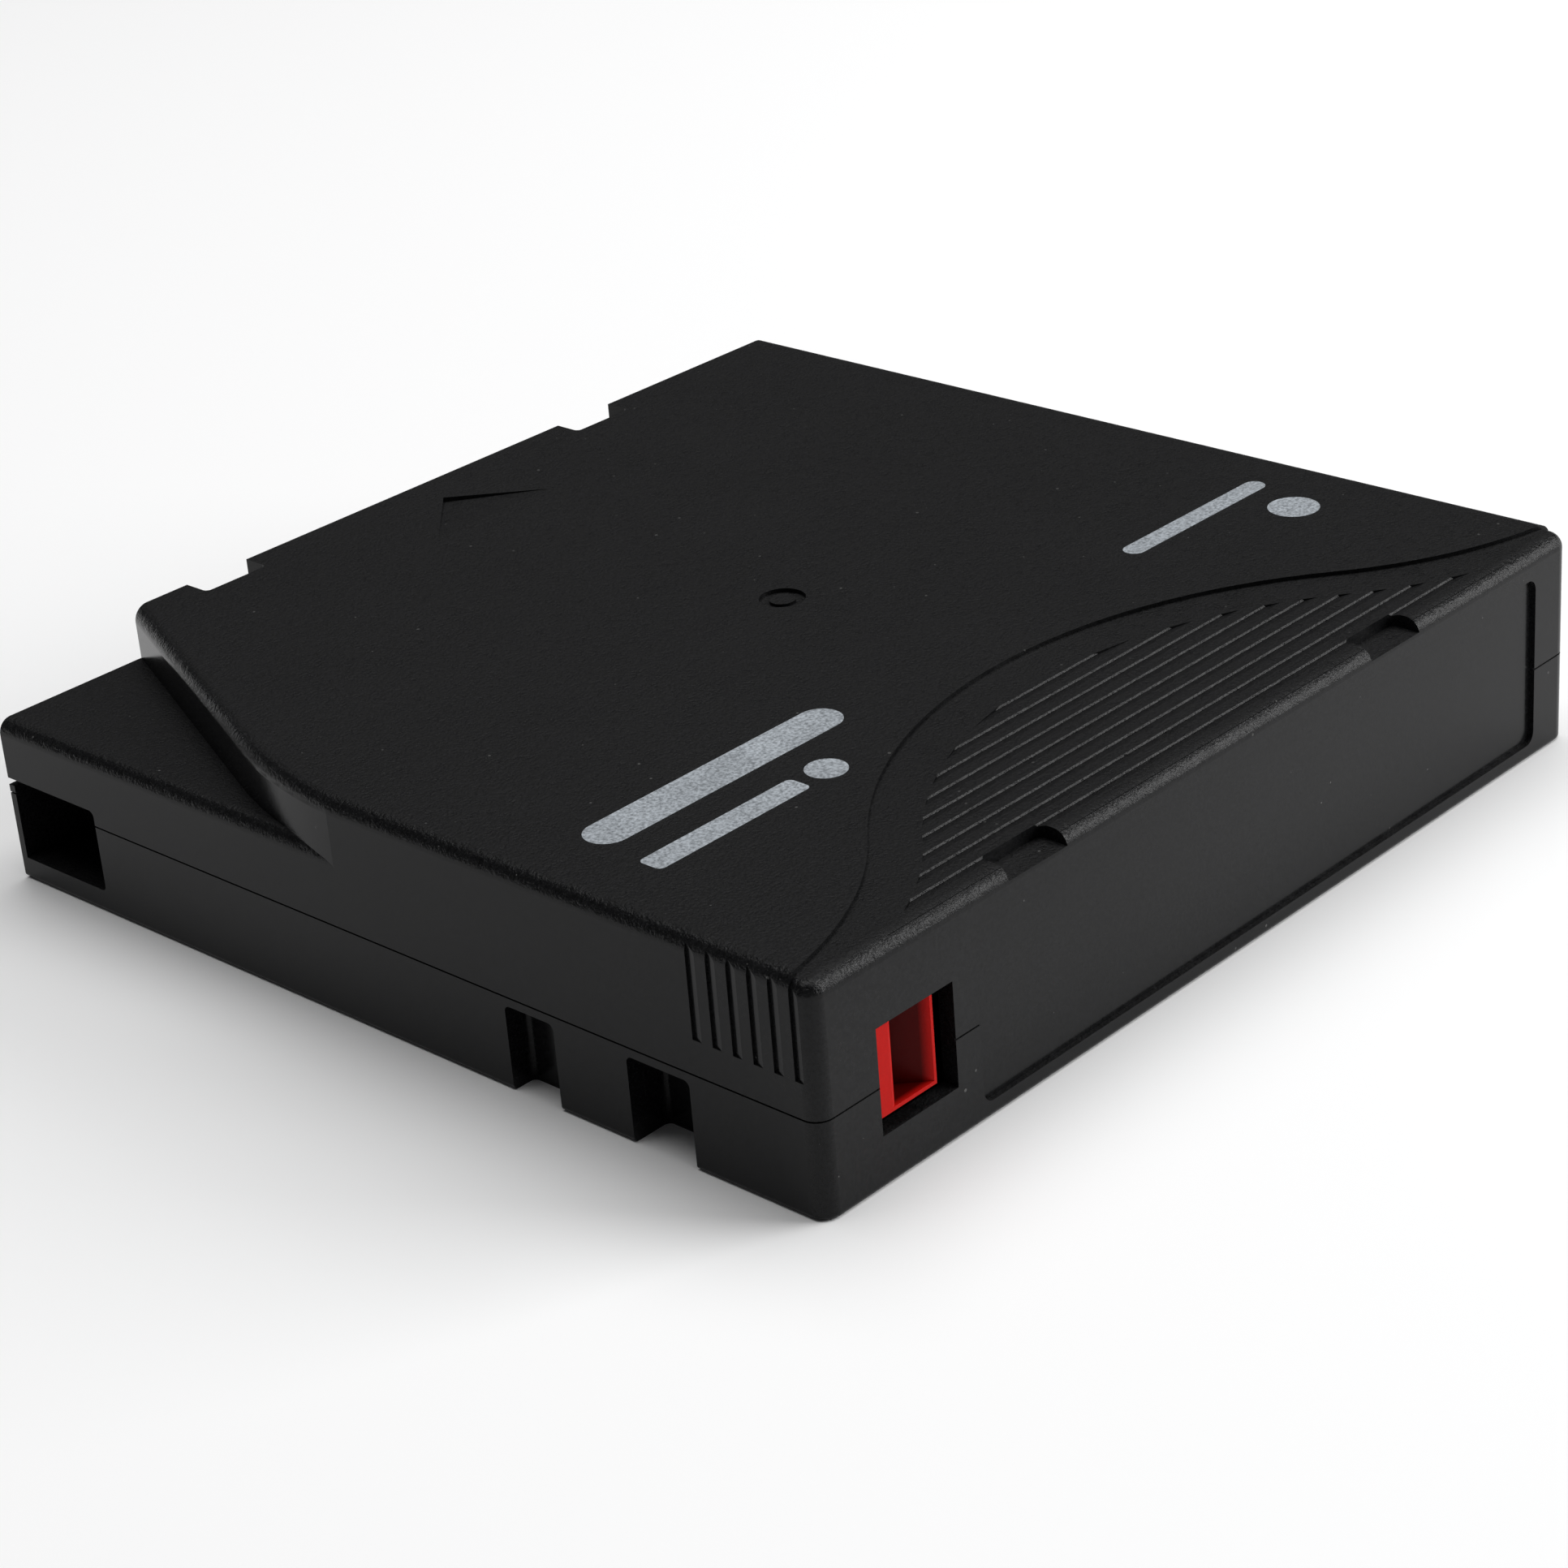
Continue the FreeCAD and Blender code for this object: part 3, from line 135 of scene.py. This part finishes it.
# ranges are what the noise gives, the tones and shines what they become
grainLook = {
    "fineDetail": 3.0, "fineRoughness": 0.65, "cloudDetail": 4.0, "cloudRoughness": 0.6,
    "broadDetail": 2.0, "broadRatio": 3.4, "broadShare": 0.45,
    "fineRange": (0.34, 0.66), "fineTone": (0.55, 1.45),
    "broadRange": (0.3, 0.7), "broadShine": (-0.16, 0.16),
    "cloudRange": (0.3, 0.7), "cloudTone": (0.90, 1.10), "cloudShine": (-0.03, 0.03),
}


def buildMouldGrain(look):
    # eroded mould texture: height for the bump, tone for the colour, shine for the roughness
    group, start, end = newGroup("mouldGrain", [
        ("Vector", "NodeSocketVector"), ("Grain Size", "NodeSocketFloat"),
        ("Cloud Size", "NodeSocketFloat")],
        [("Height", "NodeSocketFloat"), ("Tone", "NodeSocketFloat"), ("Shine", "NodeSocketFloat")])
    point = start.outputs["Vector"]
    fineSize = start.outputs["Grain Size"]
    fine = noiseNode(group, point, fineSize, look["fineDetail"], look["fineRoughness"])
    broad = noiseNode(group, point, mathNode(group, "MULTIPLY", fineSize, look["broadRatio"]),
                      look["broadDetail"])
    cloud = noiseNode(group, point, start.outputs["Cloud Size"], look["cloudDetail"],
                      look["cloudRoughness"])
    height = mathNode(group, "ADD", fine, mathNode(group, "MULTIPLY", broad, look["broadShare"]))
    group.links.new(height, end.inputs["Height"])
    fineTone = rangeNode(group, fine, *look["fineRange"], *look["fineTone"])
    cloudTone = rangeNode(group, cloud, *look["cloudRange"], *look["cloudTone"])
    group.links.new(mathNode(group, "MULTIPLY", fineTone, cloudTone), end.inputs["Tone"])
    broadShine = rangeNode(group, broad, *look["broadRange"], *look["broadShine"])
    cloudShine = rangeNode(group, cloud, *look["cloudRange"], *look["cloudShine"])
    group.links.new(mathNode(group, "ADD", cloudShine, broadShine), end.inputs["Shine"])
    return group


# radius is a share of the spacing, faint is how strongly the weakest and strongest speck show
speckLook = {"radius": (0.03, 0.10), "faint": (0.25, 1.0)}


def buildDustSpecks(look):
    # pale round specks, one at most in each cell, fewer where Amount is small
    group, start, end = newGroup("dustSpecks", [
        ("Vector", "NodeSocketVector"), ("Spacing", "NodeSocketFloat"),
        ("Amount", "NodeSocketFloat")], [("Mask", "NodeSocketFloat")])
    cells = group.nodes.new("ShaderNodeTexVoronoi")
    group.links.new(start.outputs["Vector"], cells.inputs["Vector"])
    group.links.new(mathNode(group, "DIVIDE", 1.0, start.outputs["Spacing"]), cells.inputs["Scale"])
    split = group.nodes.new("ShaderNodeSeparateColor")
    group.links.new(cells.outputs["Color"], split.inputs["Color"])
    chosen = mathNode(group, "LESS_THAN", split.outputs["Red"], start.outputs["Amount"])
    radius = rangeNode(group, split.outputs["Green"], 0.0, 1.0, *look["radius"])
    near = mathNode(group, "LESS_THAN", cells.outputs["Distance"], radius)
    faint = rangeNode(group, split.outputs["Blue"], 0.0, 1.0, *look["faint"])
    group.links.new(mathNode(group, "MULTIPLY", mathNode(group, "MULTIPLY", chosen, near), faint),
                    end.inputs["Mask"])
    return group


# how much of the normal points up where each effect starts and is full
facingLook = {"up": (0.86, 0.97), "leavesWall": (0.15, 0.40), "reachesTop": (0.90, 0.98)}


def buildFacing(look):
    # Up is 1 on flats that face up, Edge is 1 on the rounds between flats and walls
    group, start, end = newGroup("facing", [("Normal", "NodeSocketVector")],
                                 [("Up", "NodeSocketFloat"), ("Edge", "NodeSocketFloat")])
    split = group.nodes.new("ShaderNodeSeparateXYZ")
    group.links.new(start.outputs["Normal"], split.inputs["Vector"])
    group.links.new(rangeNode(group, split.outputs["Z"], *look["up"]), end.inputs["Up"])
    steep = mathNode(group, "ABSOLUTE", split.outputs["Z"])
    leaving = rangeNode(group, steep, *look["leavesWall"])
    arriving = rangeNode(group, steep, *look["reachesTop"], 1.0, 0.0)
    group.links.new(mathNode(group, "MULTIPLY", leaving, arriving), end.inputs["Edge"])
    return group


mouldGrain = buildMouldGrain(grainLook)
dustSpecks = buildDustSpecks(speckLook)
facing = buildFacing(facingLook)


def newMaterial(name):
    material = bpy.data.materials.new(name)
    material.use_nodes = True
    tree = material.node_tree
    tree.nodes.clear()
    output = tree.nodes.new("ShaderNodeOutputMaterial")
    shader = tree.nodes.new("ShaderNodeBsdfPrincipled")
    tree.links.new(shader.outputs["BSDF"], output.inputs["Surface"])
    return material, tree, shader


def objectPoint(tree):
    return tree.nodes.new("ShaderNodeTexCoord").outputs["Object"]


def placeGroup(tree, group, **values):
    # a value's name is its socket's name, with _ for a space
    node = tree.nodes.new("ShaderNodeGroup")
    node.node_tree = group
    for label, value in values.items():
        socket = node.inputs[label.replace("_", " ")]
        if isinstance(value, (int, float)):
            socket.default_value = value
        else:
            tree.links.new(value, socket)
    return node.outputs


def bumpNode(tree, shader, height, look):
    bump = tree.nodes.new("ShaderNodeBump")
    bump.inputs["Strength"].default_value = look["bump"]
    bump.inputs["Distance"].default_value = look["bumpDepth"]
    tree.links.new(height, bump.inputs["Height"])
    tree.links.new(bump.outputs["Normal"], shader.inputs["Normal"])


def toned(tree, colour, tone):
    # a colour multiplied by a varying tone
    node = tree.nodes.new("ShaderNodeVectorMath")
    node.operation = "SCALE"
    if isinstance(colour, tuple):
        node.inputs[0].default_value = colour
    else:
        tree.links.new(colour, node.inputs[0])
    tree.links.new(tone, node.inputs["Scale"])
    return node.outputs[0]


shellLook = {
    "top": darkShell, "wall": satinShell, "grainSize": 0.00032, "cloudSize": 0.014,
    "dustSpacing": 0.0015, "dustAmount": 0.16, "wearSpacing": 0.0007, "wearAmount": 0.45,
    "speckStrength": 0.75, "topRough": 0.50, "wallRough": 0.20, "edgePolish": 0.06,
    "topGrain": 1.0, "wallGrain": 0.01, "edgeGrain": 0.7, "bump": 1.0, "bumpDepth": 0.00016,
    "gloss": 0.16,
}


def shellMaterial(name, look):
    # grained on the flats that face up, satin on the walls, grained and worn on the rounded edges
    material, tree, shader = newMaterial(name)
    point = objectPoint(tree)
    normal = tree.nodes.new("ShaderNodeNewGeometry").outputs["Normal"]
    grain = placeGroup(tree, mouldGrain, Vector=point, Grain_Size=look["grainSize"],
                       Cloud_Size=look["cloudSize"])
    dust = placeGroup(tree, dustSpecks, Vector=point, Spacing=look["dustSpacing"],
                      Amount=look["dustAmount"])
    wear = placeGroup(tree, dustSpecks, Vector=point, Spacing=look["wearSpacing"],
                      Amount=look["wearAmount"])
    turned = placeGroup(tree, facing, Normal=normal)
    colour = mixColour(tree, turned["Up"], look["wall"], look["top"])
    colour = toned(tree, colour, grain["Tone"])
    worn = mathNode(tree, "MULTIPLY", wear["Mask"], turned["Edge"])
    specks = mathNode(tree, "MAXIMUM", dust["Mask"], worn)
    speckMask = mathNode(tree, "MULTIPLY", specks, look["speckStrength"])
    colour = mixColour(tree, speckMask, colour, dustColour)
    tree.links.new(colour, shader.inputs["Base Color"])
    rough = rangeNode(tree, turned["Up"], 0.0, 1.0, look["wallRough"], look["topRough"])
    polish = mathNode(tree, "MULTIPLY", turned["Edge"], look["edgePolish"])
    rough = mathNode(tree, "SUBTRACT", rough, polish)
    depth = rangeNode(tree, turned["Up"], 0.0, 1.0, look["wallGrain"], look["topGrain"])
    edgeDepth = mathNode(tree, "MULTIPLY", turned["Edge"], look["edgeGrain"])
    depth = mathNode(tree, "ADD", depth, edgeDepth)
    shine = mathNode(tree, "MULTIPLY", grain["Shine"], depth)
    tree.links.new(mathNode(tree, "ADD", rough, shine), shader.inputs["Roughness"])
    bumpNode(tree, shader, mathNode(tree, "MULTIPLY", grain["Height"], depth), look)
    shader.inputs["Specular IOR Level"].default_value = look["gloss"]
    return material


# what a finish has when it says nothing else
plainLook = {
    "cloudSize": 0.008, "grainTone": (0.6, 1.4), "toneRange": (0.8, 1.2), "shineShare": 0.4,
    "bumpDepth": 0.00002, "metal": 0.0, "gloss": 0.5, "coat": 0.0, "coatRough": 0.12,
}
# painted shade deeper in a recess: the y where a colour starts to darken, the y where it ends and the
# share that is left
finishes = {
    "door": {"colour": (0.012, 0.012, 0.013), "grainSize": 0.0004, "rough": 0.42, "bump": 0.1,
             "gloss": 0.3},
    "case_screws": {"colour": (0.09, 0.09, 0.095), "grainSize": 0.0005, "rough": 0.38, "bump": 0.1,
                    "metal": 1.0},
    "spring": {"colour": (0.58, 0.58, 0.57), "grainSize": 0.0004, "rough": 0.28, "bump": 0.05,
               "metal": 1.0},
    "write_protect_tab": {"colour": sliderRed, "grainSize": 0.0002, "rough": 0.36, "bump": 0.02,
                          "gloss": 0.06, "toneRange": (0.95, 1.05),
                          "paintedRecessShade": (-50.8 * mm, -50.2 * mm, 0.16)},
    "leader_pin": {"colour": (0.68, 0.68, 0.69), "grainSize": 0.0005, "rough": 0.16, "bump": 0.02,
                   "metal": 1.0},
    "pin_clip": {"colour": (0.55, 0.54, 0.50), "grainSize": 0.0004, "rough": 0.45, "bump": 0.1},
    "leader_tape": {"colour": (0.020, 0.015, 0.012), "grainSize": 0.0012, "rough": 0.18, "bump": 0.02,
                    "stretch": (1.0, 1.0, 6.0)},
    "tape_pack": {"colour": (0.028, 0.021, 0.017), "grainSize": 0.0006, "rough": 0.34, "bump": 0.12,
                  "stretch": (1.0, 1.0, 9.0)},
    "reel_hub": {"colour": (0.52, 0.52, 0.50), "grainSize": 0.0003, "rough": 0.46, "bump": 0.12,
                 "toneRange": (0.94, 1.04)},
    "reel_upper_flange": {"colour": (0.50, 0.50, 0.49), "grainSize": 0.0005, "rough": 0.30,
                          "bump": 0.05, "toneRange": (0.94, 1.04)},
    "reel_plate": {"colour": (0.60, 0.60, 0.59), "grainSize": 0.0004, "rough": 0.24, "bump": 0.1,
                   "metal": 1.0, "toneRange": (0.95, 1.04)},
    "brake_button": {"colour": (0.70, 0.69, 0.65), "grainSize": 0.0005, "rough": 0.44, "bump": 0.1,
                     "toneRange": (0.93, 1.05)},
    "release_pad": {"colour": (0.72, 0.72, 0.69), "grainSize": 0.0003, "rough": 0.42, "bump": 0.1,
                    "toneRange": (0.95, 1.04)},
    "memory_board": {"colour": (0.016, 0.13, 0.045), "grainSize": 0.0007, "rough": 0.30, "bump": 0.05,
                     "coat": 0.3},
    "memory_aerial": {"colour": (0.72, 0.36, 0.19), "grainSize": 0.0004, "rough": 0.28, "bump": 0.03,
                      "metal": 1.0},
    "memory_chip": {"colour": (0.016, 0.016, 0.017), "grainSize": 0.0004, "rough": 0.5, "bump": 0.1},
}
shellNodes = ("lower_case", "upper_case")
springNodes = ("door_spring", "brake_spring", "pin_spring_lower", "pin_spring_upper")


def plainMaterial(name, ownLook):
    # one moulded or metal finish with fine grain and a little variation
    look = {**plainLook, **ownLook}
    material, tree, shader = newMaterial(name)
    point = objectPoint(tree)
    if "stretch" in look:
        lay = tree.nodes.new("ShaderNodeMapping")
        lay.inputs["Scale"].default_value = look["stretch"]
        tree.links.new(point, lay.inputs["Vector"])
        point = lay.outputs["Vector"]
    grain = placeGroup(tree, mouldGrain, Vector=point, Grain_Size=look["grainSize"],
                       Cloud_Size=look["cloudSize"])
    tone = rangeNode(tree, grain["Tone"], *look["grainTone"], *look["toneRange"])
    # painted shade: the colour darkens from the front of the window recess towards its back
    if "paintedRecessShade" in look:
        near, far, left = look["paintedRecessShade"]
        place = tree.nodes.new("ShaderNodeSeparateXYZ")
        tree.links.new(point, place.inputs["Vector"])
        paintedShade = rangeNode(tree, place.outputs["Y"], near, far, 1.0, left)
        tone = mathNode(tree, "MULTIPLY", tone, paintedShade)
    tree.links.new(toned(tree, look["colour"], tone), shader.inputs["Base Color"])
    shine = mathNode(tree, "MULTIPLY", grain["Shine"], look["shineShare"])
    tree.links.new(mathNode(tree, "ADD", look["rough"], shine), shader.inputs["Roughness"])
    bumpNode(tree, shader, grain["Height"], look)
    shader.inputs["Metallic"].default_value = look["metal"]
    shader.inputs["Specular IOR Level"].default_value = look["gloss"]
    shader.inputs["Coat Weight"].default_value = look["coat"]
    shader.inputs["Coat Roughness"].default_value = look["coatRough"]
    return material


def dress(node, material):
    piece = nodes[node]
    piece.data.materials.clear()
    piece.data.materials.append(material)


shellFinish = shellMaterial("mouldedShell", shellLook)
builtFinishes = {name: plainMaterial(name + "Finish", look) for name, look in finishes.items()}
for node in nodes:
    if node in shellNodes:
        dress(node, shellFinish)
    elif node in springNodes:
        dress(node, builtFinishes["spring"])
    else:
        dress(node, builtFinishes[node])
print("materials placed")


# the two coils become welded, smooth-shaded copies attached to the case; each look names the end that
# sits on its seat in the case
coilLook = {
    "door_spring": {"name": "doorCoil", "joint": "door_slide", "along": 1, "seat": 0,
                    "travel": 14.0 * mm},
    "brake_spring": {"name": "brakeCoil", "joint": "brake_lift", "along": 2, "seat": 1,
                     "travel": 2.0 * mm},
}
weldGap = 0.001 * mm


def pressedCoil(node, look):
    piece = bpy.data.objects.new(look["name"], nodes[node].data.copy())
    scene.collection.objects.link(piece)
    shape = bmesh.new()
    shape.from_mesh(piece.data)
    bmesh.ops.remove_doubles(shape, verts=shape.verts[:], dist=weldGap)
    for face in shape.faces:
        face.smooth = True
    shape.to_mesh(piece.data)
    shape.free()
    ends = [corner[look["along"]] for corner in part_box(node)]
    direction, anchor = Vector(), Vector()
    direction[look["along"]] = 1.0
    anchor[look["along"]] = ends[look["seat"]]
    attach(piece, "case")
    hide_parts(node)
    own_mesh(piece)


for node, look in coilLook.items():
    pressedCoil(node, look)


# printed fields on the top, flat ink a hair above the grain
printLook = {
    "lift": 0.02 * mm, "thick": 0.015 * mm, "barSteps": 8, "discSides": 48,
    # a share of the stated corner radius just under 1, so that a fully round end's corners don't meet
    "radiusShare": 0.999,
    # centre x, centre y, length, width, corner radius, all in millimetres
    "bars": [(-30.6, -20.6, 30.0, 4.2, 2.1), (-36.8, -27.6, 18.0, 2.6, 0.6),
             (36.0, -20.4, 21.0, 2.2, 1.1)],
    # centre x, centre y, radius, all in millimetres
    "discs": [(-24.6, -27.6, 1.9), (43.0, -26.8, 2.5)],
    "colour": printGrey, "grainSize": 0.0003, "cloudSize": 0.006, "rough": 0.5, "gloss": 0.3,
    "bump": 0.25, "bumpDepth": 0.00004,
}


def onTop(x, y):
    return Matrix.Translation((x * mm, y * mm, caseTop + printLook["lift"]))


def addBar(shape, x, y, length, width, radius):
    place = onTop(x, y)
    made = bmesh.ops.create_grid(shape, x_segments=1, y_segments=1, size=0.5 * mm, matrix=place)
    bmesh.ops.scale(shape, vec=(length, width, 1.0), space=place.inverted(), verts=made["verts"])
    bmesh.ops.bevel(shape, geom=made["verts"], offset=radius * mm * printLook["radiusShare"],
                    affect="VERTICES", segments=printLook["barSteps"], profile=0.5, material=-1)


def addDisc(shape, x, y, radius):
    bmesh.ops.create_circle(shape, cap_ends=True, segments=printLook["discSides"], radius=radius * mm,
                            matrix=onTop(x, y))


def printShape():
    mesh = bpy.data.meshes.new("printedMarks")
    shape = bmesh.new()
    for bar in printLook["bars"]:
        addBar(shape, *bar)
    for disc in printLook["discs"]:
        addDisc(shape, *disc)
    bmesh.ops.solidify(shape, geom=shape.faces[:], thickness=printLook["thick"])
    bmesh.ops.recalc_face_normals(shape, faces=shape.faces[:])
    shape.to_mesh(mesh)
    shape.free()
    piece = bpy.data.objects.new("printedMarks", mesh)
    scene.collection.objects.link(piece)
    return piece


def printInk(look):
    material, tree, shader = newMaterial("printInk")
    grain = placeGroup(tree, mouldGrain, Vector=objectPoint(tree), Grain_Size=look["grainSize"],
                       Cloud_Size=look["cloudSize"])
    tree.links.new(toned(tree, look["colour"], grain["Tone"]), shader.inputs["Base Color"])
    shader.inputs["Roughness"].default_value = look["rough"]
    shader.inputs["Specular IOR Level"].default_value = look["gloss"]
    bumpNode(tree, shader, grain["Height"], look)
    return material


def printMarks():
    piece = printShape()
    piece.data.materials.append(printInk(printLook))
    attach(piece, "case")


printMarks()
print("printed marks placed")


studio = {
    "floorTone": (0.96, 0.96, 0.96), "floorSize": 24.0, "floorRough": 0.9, "floorGloss": 0.1,
    "worldTone": (0.07, 0.07, 0.072),
    # position, width, watts
    "lamps": [
        ("sideSoftbox", (0.82, -0.80, 0.50), 0.8, 13.0),
        ("overheadSoftbox", (0.2, 0.1, 1.3), 1.4, 16.0),
    ],
    "lampAim": (0.0, 0.0, 0.01),
}
viewLook = {
    "sensor": 36.0, "lens": 84.7, "nearest": 0.01, "place": (-0.2242332, -0.2194611, 0.1554351),
    "right": (0.6744894, -0.7346314, -0.0733540), "up": (0.3683484, 0.2487467, 0.8957927),
}


def buildFloor():
    mesh = bpy.data.meshes.new("floor")
    shape = bmesh.new()
    bmesh.ops.create_grid(shape, x_segments=1, y_segments=1, size=studio["floorSize"] / 2)
    shape.to_mesh(mesh)
    shape.free()
    floor = bpy.data.objects.new("floor", mesh)
    scene.collection.objects.link(floor)
    material, tree, shader = newMaterial("floorPaper")
    shader.inputs["Base Color"].default_value = (*studio["floorTone"], 1.0)
    shader.inputs["Roughness"].default_value = studio["floorRough"]
    shader.inputs["Specular IOR Level"].default_value = studio["floorGloss"]
    mesh.materials.append(material)


def buildWorld():
    world = bpy.data.worlds.new("studioWorld")
    scene.world = world
    world.use_nodes = True
    background = world.node_tree.nodes["Background"]
    background.inputs["Color"].default_value = (*studio["worldTone"], 1.0)


def buildLamps():
    for name, place, width, watts in studio["lamps"]:
        lamp = bpy.data.lights.new(name, "AREA")
        lamp.shape = "SQUARE"
        lamp.size = width
        lamp.energy = watts
        holder = bpy.data.objects.new(name, lamp)
        scene.collection.objects.link(holder)
        holder.location = place
        aim = Vector(studio["lampAim"]) - Vector(place)
        holder.rotation_euler = aim.to_track_quat("-Z", "Y").to_euler()


def buildCamera(look):
    lens = bpy.data.cameras.new("viewCamera")
    lens.sensor_width = look["sensor"]
    lens.lens = look["lens"]
    lens.clip_start = look["nearest"]
    camera = bpy.data.objects.new("viewCamera", lens)
    scene.collection.objects.link(camera)
    right, up = Vector(look["right"]), Vector(look["up"])
    turn = Matrix((right, up, right.cross(up))).transposed().to_4x4()
    camera.matrix_world = Matrix.Translation(look["place"]) @ turn
    scene.camera = camera


buildFloor()
buildWorld()
buildLamps()
buildCamera(viewLook)
print("studio ready")
